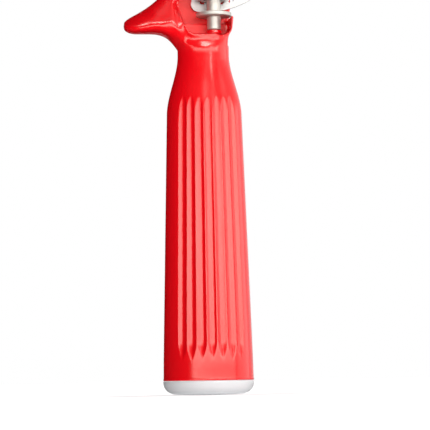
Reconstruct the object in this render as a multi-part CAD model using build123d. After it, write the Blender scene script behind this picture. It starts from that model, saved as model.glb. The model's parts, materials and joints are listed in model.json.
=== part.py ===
from build123d import *
import math
import os

# Thumb-press portion scoop, in millimetres. The grip's axis is Z, the end cap's flat bottom is at Z 0,
# the window of the head and the mouth of the bowl face -Y, and the thumb lever leaves towards +X.

# End cap
cap_height = 4.9
cap_edge_radius = 2.8
plug_height = 7.0
plug_wall = 1.8
plug_gap = 0.05

# Grip and neck
grip_length = 90.6
grip_low_width = 31.0
grip_low_depth = 26.4
grip_high_width = 25.8
grip_high_depth = 22.0
shoulder_length = 21.0
neck_width = 17.7
neck_depth = 16.0
neck_length = 3.0
neck_edge_height = 0.8
neck_edge_inset = 1.0
grip_wall = 3.6
core_step = 1.0
core_end_wall = 6.0

# Flutes, on the front and on the back of the grip
flute_count = 7
flute_pitch_angle = 13.6
flute_radius = 2.1
flute_depth = 0.85
flute_start = 8.5
flute_tip = 5.0
flute_tip_gap = 0.05

# Head: window, spine and block
sill_rise = 6.75
spine_thickness = 6.0
head_corner_radius = 6.0
window_left = -6.3
window_left_height = 3.6
window_peak_left = -8.7
window_peak_height = 11.0
window_peak_radius = 2.4
window_return_height = 17.6
window_right = 9.3
window_corner_radius = 2.7
window_bevel_y = -2.0
window_bevel_depth = 10.0
window_bevel_width = 2.6
left_wall = 2.3
right_wall_height = 6.2
recess_step_height = 4.8
recess_step_depth = 3.5
boss_radius = 2.6
boss_height = 1.95
boss_root = 0.6
block_width = 16.4
block_front = 7.8
block_bridge = 5.5
block_edge_radius = 2.2

# The head from the neck to the collar: height above the sill, half width, reach in front and behind
head_stations = [
    (-6.0, 8.2, 7.4, 7.4),
    (-1.9, 8.5, 7.0, 8.4),
    (0.0, 8.8, 8.2, 9.4),
    (1.4, 9.8, 8.8, 10.6),
    (4.8, 10.2, 9.2, 12.7),
]

# Horn, the finger guard: reach from the grip axis, underside and top above the sill, then depth
horn_stations = [
    (27.1, 2.6, 4.6, 4.2),
    (25.9, 1.3, 5.8, 8.0),
    (22.7, 0.7, 7.7, 12.2),
    (17.5, 0.7, 11.1, 15.6),
    (13.0, -0.4, 15.2, 16.8),
    (9.8, -3.4, 18.4, 16.6),
    (6.0, -8.8, 20.2, 15.6),
]
horn_center_y = 0.8

# Spindle
spindle_x = 3.9
spindle_diameter = 4.76
journal_diameter = 3.0
journal_length = 4.0
journal_well = 0.6
thrust_gap = 0.15
running_gap = 0.03
washer_rise = 4.85
washer_diameter = 12.2
washer_thickness = 1.0

# Pinion and the lever's punched rack
tooth_module = 1.0
pinion_teeth = 10
pinion_face = 3.6
pinion_rise = 10.3
pinion_root_radius = 3.9
pinion_tip_depth = 0.7
tooth_root_half = 0.85
tooth_tip_half = 0.35
hub_diameter = 8.6
hub_height = 3.2
pinion_pin_diameter = 1.5
pinion_pin_inset = 0.2
rack_teeth_full = 54
rack_first_slot = -1
rack_last_slot = 5
slot_width = 1.9
slot_length = 5.2

# Thumb lever
mesh_gap = 0.1
plate_thickness = 1.5
lever_side_gap = 0.3
sector_margin = 5.0
sector_left_angle = -14.0
sector_right_angle = 41.0
sector_corner_radius = 2.6
sector_edge_shift = 2.4
lever_travel = 28.9
lever_hub_radius = 5.5
lever_hub_gap = 1.0
sweep_margin_angle = 3.0
sweep_right_angle = 80.0
pad_reach = 40.0
pad_drop = 12.5
pad_curve_radius = 28.0
pad_inner_angle = -10.0
pad_outer_angle = 34.0
pad_front = 9.0
pad_corner_radius = 4.5
arm_root_width = 15.0
arm_overlap = 8.0

# Lever pivot
pivot_diameter = 5.0
pivot_gap = 0.04
lever_washer_diameter = 10.0
lever_washer_thickness = 0.5
lever_washer_gap = 0.25
screw_head_diameter = 9.0
screw_head_height = 2.0
screw_seat_depth = 0.8
screw_socket_width = 3.0
screw_socket_depth = 1.2

# Stop pin that holds the lever against the wound spring
stop_pin_diameter = 2.0
stop_pin_reach = 7.0
stop_pin_gap = 0.2
stop_pin_depth = 3.6

# Return spring
wire_diameter = 0.9
spring_inner_gap = 0.52
spring_turns = 5.25
spring_low_gap = 0.9
spring_high_gap = 2.6
spring_bend_radius = 1.0
spring_leg_length = 2.6
spring_leg_depth = 1.2
spring_hole_gap = 0.12

# Shank
bush_wall = 0.39
bush_length = 6.0
tube_wall = 1.0
shank_show = 5.5
lock_pin_diameter = 2.4
lock_pin_inset = 0.8
ferrule_height = 3.0
ferrule_lip = 0.5
ferrule_side_gap = 0.4

# Bowl and scraper
bowl_radius = 23.7
bowl_wall = 0.9
bowl_lip = 6.5
rim_round = 0.3
bowl_hole_gap = 0.3
blade_gap = 0.4
blade_thickness = 0.7
blade_width = 9.0
blade_rest_angle = 12.0
tab_radius = 4.2
tab_inset = 0.7
peg_diameter = 3.2
peg_head_diameter = 5.6
peg_head_height = 1.0
rivet_diameter = 3.0
rivet_head_diameter = 7.0
rivet_head_height = 1.3
rivet_tail_diameter = 5.0
rivet_tail_height = 0.8
rivet_tail_gap = 0.3
tip_washer_diameter = 5.2
tip_washer_thickness = 0.3
tip_washer_gap = 0.15

# Heights along the grip axis
seam_z = cap_height
shoulder_z = seam_z + grip_length
neck_z = shoulder_z + shoulder_length
sill_z = neck_z + sill_rise
spindle_end_z = sill_z + boss_height + thrust_gap
washer_z = spindle_end_z + washer_rise
pinion_z = spindle_end_z + pinion_rise
hub_z = pinion_z + pinion_face
hub_top_z = hub_z + hub_height
rack_radius = tooth_module * rack_teeth_full / 2
pivot_z = pinion_z + pinion_face / 2 + rack_radius
block_z = pivot_z - lever_hub_radius - lever_hub_gap
block_top_z = pivot_z + lever_hub_radius + lever_hub_gap + block_bridge
bowl_low_z = block_top_z + shank_show

# Depths behind the spindle axis
pitch_radius = tooth_module * pinion_teeth / 2
plate_front_y = pitch_radius + mesh_gap
plate_back_y = plate_front_y + plate_thickness
recess_y = plate_back_y + lever_washer_gap + lever_washer_thickness
spine_y = recess_y + spine_thickness
screw_seat_y = spine_y - screw_seat_depth

# Radii that follow from the sizes above
spindle_radius = spindle_diameter / 2
pinion_tip_radius = plate_front_y + pinion_tip_depth
sector_radius = rack_radius + sector_margin
bush_radius = spindle_radius + running_gap + bush_wall
tube_radius = bush_radius + tube_wall
spring_radius = spindle_radius + spring_inner_gap + wire_diameter / 2
bowl_outer = bowl_radius + bowl_wall
bowl_z = bowl_low_z + bowl_outer
blade_outer = bowl_radius - blade_gap
blade_inner = blade_outer - blade_thickness
tab_offset = bowl_radius - tab_inset

STANDING = (Align.CENTER, Align.CENTER, Align.MIN)
FAR = 200.0


def rod(diameter, low, high, x=spindle_x, y=0.0):
    """A round bar along Z from one height to another."""
    return Pos(x, y, low) * Cylinder(diameter / 2, high - low, align=STANDING)


def bar_along_y(diameter, front, back, z, x=spindle_x):
    """A round bar along Y, from its front end to its back end."""
    start = Plane(origin=(x, front, z), x_dir=(1, 0, 0), z_dir=(0, 1, 0))
    return start * Cylinder(diameter / 2, back - front, align=STANDING)


def front_slab(sketch, front, back, x=0.0, z=0.0):
    """A sketch drawn as seen from the front, given thickness from its back to its front."""
    drawing = Plane(origin=(x, back, z), x_dir=(1, 0, 0), z_dir=(0, -1, 0))
    return extrude(drawing * sketch, amount=back - front)


def wedge(first, last, reach):
    """A triangle from the origin between two angles, counted from straight down towards +X."""
    left = (reach * math.sin(math.radians(first)), -reach * math.cos(math.radians(first)))
    right = (reach * math.sin(math.radians(last)), -reach * math.cos(math.radians(last)))
    return make_face(Polyline((0, 0), left, right, close=True))


def smooth_step(share):
    """Rises from 0 to 1 with level ends."""
    return share * share * (3 - 2 * share)


def grip_size(z, low, high, neck):
    """Width or depth of the grip at a height: a straight taper, then an S-curve into the neck."""
    if z <= shoulder_z:
        return low + (high - low) * (z - seam_z) / grip_length
    share = min((z - shoulder_z) / shoulder_length, 1.0)
    return high + (neck - high) * smooth_step(share)


def grip_section(z, inset=0.0):
    width = grip_size(z, grip_low_width, grip_high_width, neck_width)
    depth = grip_size(z, grip_low_depth, grip_high_depth, neck_depth)
    return Pos(0, 0, z) * Ellipse(width / 2 - inset, depth / 2 - inset)


def grip_blank():
    """The grip and its neck, one smooth loft of ovals."""
    taper_steps = 6
    shoulder_steps = 8
    heights = [seam_z + grip_length * i / taper_steps for i in range(taper_steps)]
    heights += [shoulder_z + shoulder_length * i / shoulder_steps for i in range(shoulder_steps + 1)]
    neck_top_z = neck_z + neck_length
    heights += [neck_top_z]
    edge = [grip_section(neck_top_z), grip_section(neck_top_z + neck_edge_height, neck_edge_inset)]
    return loft([grip_section(z) for z in heights]) + loft(edge, ruled=True)


def grip_core():
    """The hollow inside the grip: a straight mouth for the cap's plug, then a tapered core."""
    mouth_z = seam_z + plug_height + core_step
    core_top_z = shoulder_z - core_end_wall
    mouth = extrude(grip_section(seam_z, grip_wall), amount=mouth_z - seam_z)
    core = loft([grip_section(z, grip_wall + core_step) for z in (mouth_z, core_top_z)])
    return mouth + core


def flute_cutter(angle, side):
    """A round cutter along the tapered grip, pointed at its lower end. Side is -1 in front, 1 behind."""
    turn = math.radians(angle)

    def axis_point(z):
        half_width = (grip_low_width + (grip_high_width - grip_low_width) * (z - seam_z) / grip_length) / 2
        half_depth = (grip_low_depth + (grip_high_depth - grip_low_depth) * (z - seam_z) / grip_length) / 2
        surface = Vector(half_width * math.sin(turn), side * half_depth * math.cos(turn), z)
        outward = Vector(math.sin(turn) / half_width, side * math.cos(turn) / half_depth, 0).normalized()
        return surface + outward * (flute_radius - flute_depth)

    low = axis_point(seam_z + flute_start + flute_tip)
    high = axis_point(neck_z)
    start = Plane(origin=low, z_dir=high - low)
    straight = start * Cylinder(flute_radius, (high - low).length, align=STANDING)
    tip_radius = flute_radius - flute_depth - flute_tip_gap
    tip = start * Pos(0, 0, -flute_tip) * Cone(tip_radius, flute_radius, flute_tip, align=STANDING)
    return straight + tip


def head_section(z, left, right, front, back):
    place = Pos((left + right) / 2, (back - front) / 2, z)
    return place * RectangleRounded(right - left, front + back, head_corner_radius)


def head_blank():
    """The head before its window is cut: a waist above the neck, the flared collar, then up to the block."""
    half_block = block_width / 2
    block = head_section(block_z, spindle_x - half_block, spindle_x + half_block, block_front, spine_y)
    sections = []
    for rise, half, front, back in head_stations:
        sections.append(head_section(sill_z + rise, -half, half, front, back))
    top = extrude(block, amount=block_top_z - block_z)
    top = fillet(top.faces().sort_by(Axis.Z)[-1].edges(), block_edge_radius)
    return loft(sections + [block], ruled=True) + top


def horn():
    """The finger guard, a loft of ovals from its tip to the head."""
    sections = []
    for reach, low, high, depth in horn_stations:
        middle = (-reach, horn_center_y, sill_z + (low + high) / 2)
        place = Plane(origin=middle, x_dir=(0, 1, 0), z_dir=(1, 0, 0))
        sections.append(place * Ellipse(depth / 2, (high - low) / 2))
    return loft(sections)


def left_wall_x(height):
    """The inner face of the head's left wall at a height above the sill."""
    low, half = head_stations[-1][:2]
    block_left = spindle_x - block_width / 2
    share = (height - low) / (block_z - sill_z - low)
    return -half + (block_left + half) * share + left_wall


def window_left_side(widening=0.0):
    """Corners of the window's left side from the sill upwards: it leans out, then returns to the wall."""
    return [
        (window_left, window_corner_radius),
        (window_left - widening / 2, window_left_height),
        (window_peak_left - widening, window_peak_height),
        (left_wall_x(window_return_height), window_return_height),
    ]


def window_outline():
    """The window as seen from the front: round lower corners, a kinked left side, open to the right."""
    height = block_z - sill_z
    outline = make_face(
        Polyline(
            (window_left, 0),
            (window_right, 0),
            (window_right, right_wall_height),
            (FAR, right_wall_height),
            (FAR, height),
            (left_wall_x(height), height),
            *reversed(window_left_side()[1:]),
            close=True,
        )
    )
    peak = outline.vertices().sort_by(Axis.X)[:1]
    outline = fillet(peak, window_peak_radius)
    return fillet(outline.vertices().group_by(Axis.Y)[0], window_corner_radius)


def window_bevel():
    """A cutter that opens the window's leaning left side towards the front."""
    faces = []
    for y, widening in ((window_bevel_y, 0.0), (window_bevel_y - window_bevel_depth, window_bevel_width)):
        corners = window_left_side(widening) + [(0, window_peak_height)]
        drawing = Plane(origin=(0, y, sill_z), x_dir=(1, 0, 0), z_dir=(0, -1, 0))
        faces.append(drawing * make_face(Polyline(*corners, close=True)))
    return loft(faces, ruled=True)


def lever_sweep():
    """The slot that the lever swings in: its hub, and its sector over the whole travel."""
    reach = sector_radius + sector_edge_shift + lever_hub_gap
    first = sector_left_angle - lever_travel - sweep_margin_angle
    fan = Circle(reach) & (wedge(first, 0, FAR) + wedge(-sweep_margin_angle, sweep_right_angle, FAR))
    slot = fan + Circle(lever_hub_radius + lever_hub_gap)
    return front_slab(slot, plate_front_y - lever_side_gap, recess_y, spindle_x, pivot_z)


def make_handle():
    body = grip_blank() + head_blank() + horn()
    for side in (-1, 1):
        for i in range(flute_count):
            body -= flute_cutter((i - (flute_count - 1) / 2) * flute_pitch_angle, side)
    body -= grip_core()
    window = window_outline()
    deep = window & Pos(0, recess_step_height) * Rectangle(2 * FAR, FAR, align=(Align.CENTER, Align.MIN))
    body -= front_slab(window, -FAR, recess_step_depth, z=sill_z)
    body -= front_slab(deep, -FAR, recess_y, z=sill_z)
    body -= window_bevel()
    body -= lever_sweep()
    body += rod(2 * boss_radius, sill_z - boss_root, sill_z + boss_height)
    journal_low = spindle_end_z - journal_length - journal_well
    body -= rod(journal_diameter + 2 * running_gap, journal_low, spindle_end_z)
    body -= rod(2 * tube_radius, block_z, block_top_z)
    body -= bar_along_y(pivot_diameter, plate_front_y, spine_y, pivot_z)
    body -= bar_along_y(screw_head_diameter + 2 * lever_side_gap, screw_seat_y, FAR, pivot_z)
    body -= lock_pin_bar(-FAR)
    body -= make_lever_stop_pin()
    body -= spring_leg_hole(spring_route()[-1])
    return body


def make_end_cap():
    """A shallow cup: a rounded foot, and a hollow plug that fits the mouth of the core."""
    foot = extrude(Pos(0, 0, 0) * Ellipse(grip_low_width / 2, grip_low_depth / 2), amount=cap_height)
    foot = fillet(foot.faces().sort_by(Axis.Z)[0].edges(), cap_edge_radius)
    plug = extrude(grip_section(seam_z, grip_wall + plug_gap), amount=plug_height)
    hollow = extrude(grip_section(seam_z, grip_wall + plug_gap + plug_wall), amount=plug_height)
    return foot + plug - hollow


def make_spindle():
    """The steel rod: a thin journal below, a peg with a riveted head inside the bowl above."""
    tab_low = bowl_z - tab_offset
    tab_high = tab_low + blade_thickness
    body = rod(spindle_diameter, spindle_end_z, tab_low)
    body += rod(journal_diameter, spindle_end_z - journal_length, spindle_end_z)
    body += rod(peg_diameter, tab_low, tab_high)
    head = Cone(peg_head_diameter / 2, peg_diameter / 2, peg_head_height, align=STANDING)
    body += Pos(spindle_x, 0, tab_high) * head
    return body - pinion_pin_bar()


def make_retaining_washer():
    return rod(washer_diameter, washer_z, washer_z + washer_thickness) - rod(spindle_diameter, washer_z, hub_z)


def pinion_pin_bar():
    """The cross pin through the pinion's hub, along Y."""
    reach = hub_diameter / 2 - pinion_pin_inset
    return bar_along_y(pinion_pin_diameter, -reach, reach, hub_z + hub_height / 2)


def make_pinion():
    """A small gear with straight-sided teeth, one of them pointing at the rack, and a hub above."""
    profile = Circle(pinion_root_radius)
    tooth = make_face(
        Polyline(
            (-tooth_root_half, 0),
            (tooth_root_half, 0),
            (tooth_root_half, pinion_root_radius),
            (tooth_tip_half, pinion_tip_radius),
            (-tooth_tip_half, pinion_tip_radius),
            (-tooth_root_half, pinion_root_radius),
            close=True,
        )
    )
    for i in range(pinion_teeth):
        profile += Rot(0, 0, 360 * i / pinion_teeth) * tooth
    gear = extrude(Pos(spindle_x, 0, pinion_z) * profile, amount=pinion_face)
    gear += rod(hub_diameter, hub_z, hub_top_z)
    gear -= rod(spindle_diameter, pinion_z, hub_top_z)
    return gear - pinion_pin_bar() - spring_leg_hole(spring_route()[0])


def pad_center():
    return Pos(pad_reach, pad_curve_radius - pad_drop)


def make_thumb_lever():
    """A stamped sector with a punched rack, and an arm that ends in a dished thumb pad."""
    edge = Pos(-sector_edge_shift, 0) * Circle(sector_radius)
    fan = edge & wedge(sector_left_angle, sector_right_angle, FAR)
    fan = fillet(fan.vertices().sort_by(Axis.X)[:1], sector_corner_radius)
    right = math.radians(sector_right_angle)
    root_low = (sector_radius * math.sin(right), -sector_radius * math.cos(right))
    root_high = (
        (sector_radius - arm_root_width) * math.sin(right),
        -(sector_radius - arm_root_width) * math.cos(right),
    )
    inner = math.radians(pad_inner_angle)
    pad_start = (
        pad_reach + pad_curve_radius * math.sin(inner),
        pad_curve_radius * (1 - math.cos(inner)) - pad_drop,
    )
    arm = make_face(
        Polyline(
            (0, -lever_hub_radius),
            (root_low[0] / 2, root_low[1]),
            root_low,
            (pad_start[0] + arm_overlap, -pad_drop - plate_thickness),
            (pad_start[0] + arm_overlap, pad_start[1] + arm_overlap),
            (pad_start[0], pad_start[1] + plate_thickness),
            root_high,
            close=True,
        )
    )
    arm = arm - pad_center() * Circle(pad_curve_radius - plate_thickness)
    arm = arm - Circle(sector_radius - arm_root_width)
    outline = fan + Circle(lever_hub_radius) + arm
    slot_angle = 360 / rack_teeth_full
    for i in range(rack_first_slot, rack_last_slot + 1):
        slot = SlotOverall(slot_length, slot_width, rotation=90)
        outline -= Rot(0, 0, i * slot_angle) * Pos(0, -rack_radius) * slot
    outline -= Circle(pivot_diameter / 2 + pivot_gap)
    plate = front_slab(outline, plate_front_y, plate_back_y, spindle_x, pivot_z)
    return plate + thumb_pad()


def thumb_pad():
    ring = Circle(pad_curve_radius) - Circle(pad_curve_radius - plate_thickness)
    strip = pad_center() * (ring & wedge(pad_inner_angle, pad_outer_angle, FAR))
    strip = front_slab(strip, -pad_front, plate_back_y, spindle_x, pivot_z)
    box = strip.bounding_box()
    plan = RectangleRounded(box.size.X, box.size.Y, pad_corner_radius)
    return strip & extrude(Pos(box.center().X, box.center().Y, box.min.Z) * plan, amount=box.size.Z)


def make_lever_pivot_screw():
    """A shoulder screw from the back of the head, with a round head and a hexagon socket."""
    body = bar_along_y(pivot_diameter, plate_front_y, screw_seat_y, pivot_z)
    body += bar_along_y(screw_head_diameter, screw_seat_y, screw_seat_y + screw_head_height, pivot_z)
    back = screw_seat_y + screw_head_height
    socket = RegularPolygon(screw_socket_width / 2, 6, major_radius=False)
    return body - front_slab(socket, back - screw_socket_depth, back, spindle_x, pivot_z)


def make_lever_washer():
    front = recess_y - lever_washer_thickness
    ring = bar_along_y(lever_washer_diameter, front, recess_y, pivot_z)
    return ring - bar_along_y(pivot_diameter, front, recess_y, pivot_z)


def make_lever_stop_pin():
    """A pin pressed in the spine, just above the right edge of the resting lever."""
    apart = math.asin((stop_pin_diameter / 2 + stop_pin_gap) / stop_pin_reach)
    angle = math.radians(sector_right_angle) + apart
    x = spindle_x + stop_pin_reach * math.sin(angle)
    z = pivot_z - stop_pin_reach * math.cos(angle)
    return bar_along_y(stop_pin_diameter, plate_front_y, recess_y + stop_pin_depth, z, x)


def spring_point(angle):
    """A point of the spring's coil and the direction of its wire there, by the angle turned so far."""
    low = hub_top_z + spring_low_gap + wire_diameter / 2
    high = block_z - spring_high_gap
    rise = (high - low) / (2 * math.pi * spring_turns)
    point = Vector(
        spindle_x + spring_radius * math.cos(angle),
        spring_radius * math.sin(angle),
        low + rise * angle,
    )
    heading = Vector(-spring_radius * math.sin(angle), spring_radius * math.cos(angle), rise).normalized()
    return point, heading


def biarc(start, start_heading, end, end_heading):
    """Two arcs that join two points and their headings smoothly."""
    span = end - start
    both = start_heading + end_heading
    spread = 2 * (1 - start_heading.dot(end_heading))
    along = span.dot(both)
    reach = (-along + math.sqrt(along * along + spread * span.dot(span))) / spread
    middle = (start + start_heading * reach + end - end_heading * reach) * 0.5
    first = Edge.make_tangent_arc(start, start_heading, middle)
    second = Edge.make_tangent_arc(middle, first % 1, end)
    return [first, second]


def spring_route():
    """The wire's centre line: a leg up from the hub, the coil in quarter turns, a leg up into the block."""
    quarters = round(4 * spring_turns)
    up = Vector(0, 0, 1)
    coil_start, start_heading = spring_point(0)
    bend = spring_bend_radius * math.tan(start_heading.get_angle(up) * math.pi / 360)
    low_corner = coil_start - (up + start_heading) * bend
    low_end = Vector(low_corner.X, low_corner.Y, hub_top_z - spring_leg_depth)
    route = [Edge.make_line(low_end, low_corner), Edge.make_tangent_arc(low_corner, up, coil_start)]
    for i in range(quarters):
        start = spring_point(i * math.pi / 2)
        end = spring_point((i + 1) * math.pi / 2)
        route += biarc(*start, *end)
    coil_end, end_heading = spring_point(quarters * math.pi / 2)
    leg_end = coil_end + end_heading * spring_leg_length
    bend = spring_bend_radius * math.tan(end_heading.get_angle(up) * math.pi / 360)
    high_corner = leg_end + (up + end_heading) * bend
    high_end = Vector(high_corner.X, high_corner.Y, block_z + spring_leg_depth)
    route += [Edge.make_line(coil_end, leg_end), Edge.make_tangent_arc(leg_end, end_heading, high_corner)]
    return route + [Edge.make_line(high_corner, high_end)]


def spring_leg_hole(leg):
    """The hole that takes one straight leg of the spring, a little longer and wider than the wire."""
    low = min((leg @ 0).Z, (leg @ 1).Z) - spring_hole_gap
    high = max((leg @ 0).Z, (leg @ 1).Z) + spring_hole_gap
    return rod(wire_diameter + 2 * spring_hole_gap, low, high, (leg @ 0).X, (leg @ 0).Y)


def print_least_gap(route):
    """Prints the least space between the wire and itself, over stretches more than half a turn apart."""
    points = []
    walked = 0.0
    steps = 6
    for edge in route:
        points += [(walked + edge.length * i / steps, edge @ (i / steps)) for i in range(steps)]
        walked += edge.length
    apart = math.pi * spring_radius
    gaps = [
        (a - b).length - wire_diameter
        for i, (at_a, a) in enumerate(points)
        for at_b, b in points[i + 1:]
        if at_b - at_a > apart
    ]
    print("spring wire length", round(walked, 1), "least gap to itself", round(min(gaps), 2))


def make_return_spring():
    route = spring_route()
    print_least_gap(route)
    start = Plane(origin=route[0] @ 0, z_dir=route[0] % 0)
    return sweep(start * Circle(wire_diameter / 2), path=Wire(route))


def make_bush(low):
    return rod(2 * bush_radius, low, low + bush_length) - rod(
        spindle_diameter + 2 * running_gap, low, low + bush_length
    )


def bowl_solid(radius):
    """A half ball with a straight lip, its mouth towards -Y, turned about the bowl's middle line."""
    profile = make_face(
        [
            Line((0, -bowl_lip), (radius, -bowl_lip)),
            Line((radius, -bowl_lip), (radius, 0)),
            RadiusArc((radius, 0), (0, radius), -radius),
            Line((0, radius), (0, -bowl_lip)),
        ]
    )
    return Pos(spindle_x, 0, bowl_z) * revolve(profile, axis=Axis.Y)


def make_bowl():
    bowl = bowl_solid(bowl_outer) - bowl_solid(bowl_radius)
    bowl = fillet(bowl.faces().sort_by(Axis.Y)[0].edges(), rim_round)
    bowl -= rod(spindle_diameter + 2 * bowl_hole_gap, bowl_low_z, bowl_z)
    return bowl - rod(rivet_diameter, bowl_z, bowl_z + bowl_outer)


def make_shank_tube():
    tube = rod(2 * tube_radius, block_z, bowl_z) - rod(2 * bush_radius, block_z, bowl_z)
    return tube - bowl_solid(bowl_outer) - lock_pin_bar(-FAR)


def lock_pin_bar(outer):
    """The lock pin's bar along X, from a place left of the tube to just inside the tube's wall."""
    pin_z = block_top_z - block_bridge
    start = Plane(origin=(spindle_x + outer, 0, pin_z), z_dir=(1, 0, 0))
    return start * Cylinder(lock_pin_diameter / 2, -bush_radius - outer, align=STANDING)


def make_shank_lock_pin():
    return lock_pin_bar(-(block_width / 2 - lock_pin_inset))


def make_bowl_ferrule():
    """A flared collar around the tube, cut to the bowl that it carries."""
    rim = bowl_lip - ferrule_side_gap
    low = bowl_low_z - ferrule_height
    profile = make_face(
        Polyline(
            (tube_radius, low),
            (tube_radius + ferrule_lip, low),
            (tube_radius + ferrule_lip, low + ferrule_height / 3),
            (rim, bowl_low_z),
            (rim, bowl_low_z + ferrule_height),
            (tube_radius, bowl_low_z + ferrule_height),
            close=True,
        )
    )
    collar = Pos(spindle_x, 0, 0) * revolve(Plane.XZ * profile, axis=Axis.Z)
    return collar - bowl_solid(bowl_outer)


def make_scraper_blade():
    """A strip of a thin ball that runs from pole to pole, with a flat round tab at each pole."""
    shell = Sphere(blade_outer) - Sphere(blade_inner)
    strip = shell & Pos(blade_outer, 0, 0) * Box(2 * blade_outer, blade_width, 2 * tab_offset)
    ends = Cylinder(tab_radius, 2 * tab_offset) - Cylinder(tab_radius, 2 * (tab_offset - blade_thickness))
    strip -= Cylinder(tab_radius - blade_thickness, 2 * bowl_outer)
    blade = strip + ends
    blade -= Pos(0, 0, -tab_offset) * Cylinder(peg_diameter / 2, 2 * blade_thickness)
    blade -= Pos(0, 0, tab_offset) * Cylinder(rivet_diameter / 2 + running_gap, 2 * blade_thickness)
    return Pos(spindle_x, 0, bowl_z) * Rot(0, 0, blade_rest_angle) * blade


def make_tip_rivet():
    """A rivet through the bowl's far wall: its head outside, its tail inside the blade."""
    tail_high = bowl_z + tab_offset - blade_thickness - rivet_tail_gap
    top = bowl_z + bowl_outer
    body = rod(rivet_diameter, tail_high, top)
    body += rod(rivet_tail_diameter, tail_high - rivet_tail_height, tail_high)
    head = Cone(rivet_head_diameter / 2, rivet_diameter / 2, rivet_head_height, align=STANDING)
    return body + Pos(spindle_x, 0, top) * head


def make_tip_washer():
    """A thin ring pressed on the rivet, which keeps the blade off the bowl's wall."""
    low = bowl_z + tab_offset + tip_washer_gap
    high = low + tip_washer_thickness
    return rod(tip_washer_diameter, low, high) - rod(rivet_diameter, low, high)


def save(name, solid):
    export_step(solid, f"parts/{name}.step")


os.makedirs("parts", exist_ok=True)
save("handle", make_handle())
save("end_cap", make_end_cap())
save("spindle", make_spindle())
save("retaining_washer", make_retaining_washer())
save("pinion", make_pinion())
save("pinion_pin", pinion_pin_bar())
save("thumb_lever", make_thumb_lever())
save("lever_pivot_screw", make_lever_pivot_screw())
save("lever_washer", make_lever_washer())
save("lever_stop_pin", make_lever_stop_pin())
save("return_spring", make_return_spring())
save("handle_bush", make_bush(block_z))
save("bowl_bush", make_bush(bowl_low_z - bush_length))
save("shank_tube", make_shank_tube())
save("shank_lock_pin", make_shank_lock_pin())
save("bowl_ferrule", make_bowl_ferrule())
save("bowl", make_bowl())
save("scraper_blade", make_scraper_blade())
save("tip_rivet", make_tip_rivet())
save("tip_washer", make_tip_washer())
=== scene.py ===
# %% [markdown]
# # A thumb-press portion scoop
# The tool is a moulded red handle with a steel mechanism in the window of its head. A thumb lever
# carries a punched rack, the rack turns a pinion, and the pinion's spindle sweeps a blade round the bowl.
# The CAD frame holds every piece in place. Here each surface gets its finish, and the red inside the window
# is painted lighter to stand in for light in the shaded recess. The pieces that a mould, a lathe or a coiling
# machine makes are built again as smooth surfaces around that frame.

# %% Load the frame
import json
import math

import bmesh
import bpy
import numpy as np
from mathutils import Matrix, Vector


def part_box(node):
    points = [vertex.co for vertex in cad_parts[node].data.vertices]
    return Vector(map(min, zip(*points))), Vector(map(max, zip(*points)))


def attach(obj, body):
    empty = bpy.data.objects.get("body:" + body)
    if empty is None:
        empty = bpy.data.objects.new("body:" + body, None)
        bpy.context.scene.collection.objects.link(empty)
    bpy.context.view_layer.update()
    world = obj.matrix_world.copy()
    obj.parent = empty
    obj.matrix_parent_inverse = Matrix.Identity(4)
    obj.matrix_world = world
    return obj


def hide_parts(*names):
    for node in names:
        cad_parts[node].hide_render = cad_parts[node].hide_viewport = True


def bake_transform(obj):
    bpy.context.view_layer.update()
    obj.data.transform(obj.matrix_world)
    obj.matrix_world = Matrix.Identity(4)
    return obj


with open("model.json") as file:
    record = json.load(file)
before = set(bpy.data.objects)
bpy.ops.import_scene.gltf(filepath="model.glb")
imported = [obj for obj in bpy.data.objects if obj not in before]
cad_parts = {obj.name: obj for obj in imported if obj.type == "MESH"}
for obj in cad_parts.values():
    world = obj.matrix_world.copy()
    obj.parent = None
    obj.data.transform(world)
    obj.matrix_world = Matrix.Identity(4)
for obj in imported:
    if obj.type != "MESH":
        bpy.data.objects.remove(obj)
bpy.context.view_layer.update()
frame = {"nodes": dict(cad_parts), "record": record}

scene = bpy.context.scene
scene.view_settings.view_transform = "Standard"
MM = 0.001

# %% [markdown]
# ## Places of the CAD pieces
# The cells that follow work in millimetres. The spindle's axis is the middle of the round disc on it.

# %% Spans and the spindle's axis
def span(node):
    """Lowest and highest corner of a CAD node in mm."""
    return tuple(np.array(corner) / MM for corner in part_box(node))


disc_low, disc_high = span("retaining_washer")
axis_x = (disc_low[0] + disc_high[0]) / 2
print("spindle axis at x", round(float(axis_x), 2), "mm")

# %% [markdown]
# ## Surfaces from formulas
# A moulded or turned piece is a sheet of points: one number runs along its profile and one runs round it.
# A grid of such points becomes a mesh in one step, and rows that meet in a pole are welded to one point.

# %% Grid and lathe helpers
def finish_mesh(mesh):
    """Welds points that coincide, turns the faces outwards and shades them smoothly."""
    work = bmesh.new()
    work.from_mesh(mesh)
    bmesh.ops.remove_doubles(work, verts=work.verts, dist=1e-7)
    bmesh.ops.dissolve_degenerate(work, edges=work.edges, dist=1e-8)
    bmesh.ops.recalc_face_normals(work, faces=work.faces)
    work.to_mesh(mesh)
    work.free()
    mesh.polygons.foreach_set("use_smooth", np.ones(len(mesh.polygons), dtype=bool))
    mesh.update()


def add_piece(name, mesh, body, slot, *nodes):
    """Puts a mesh in the scene as a piece of one body, in place of the CAD nodes that it stands for."""
    piece = bpy.data.objects.new(name, mesh)
    scene.collection.objects.link(piece)
    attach(piece, body)
    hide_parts(*nodes)
    print(name, "has", len(mesh.polygons), "faces")
    return piece


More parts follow.
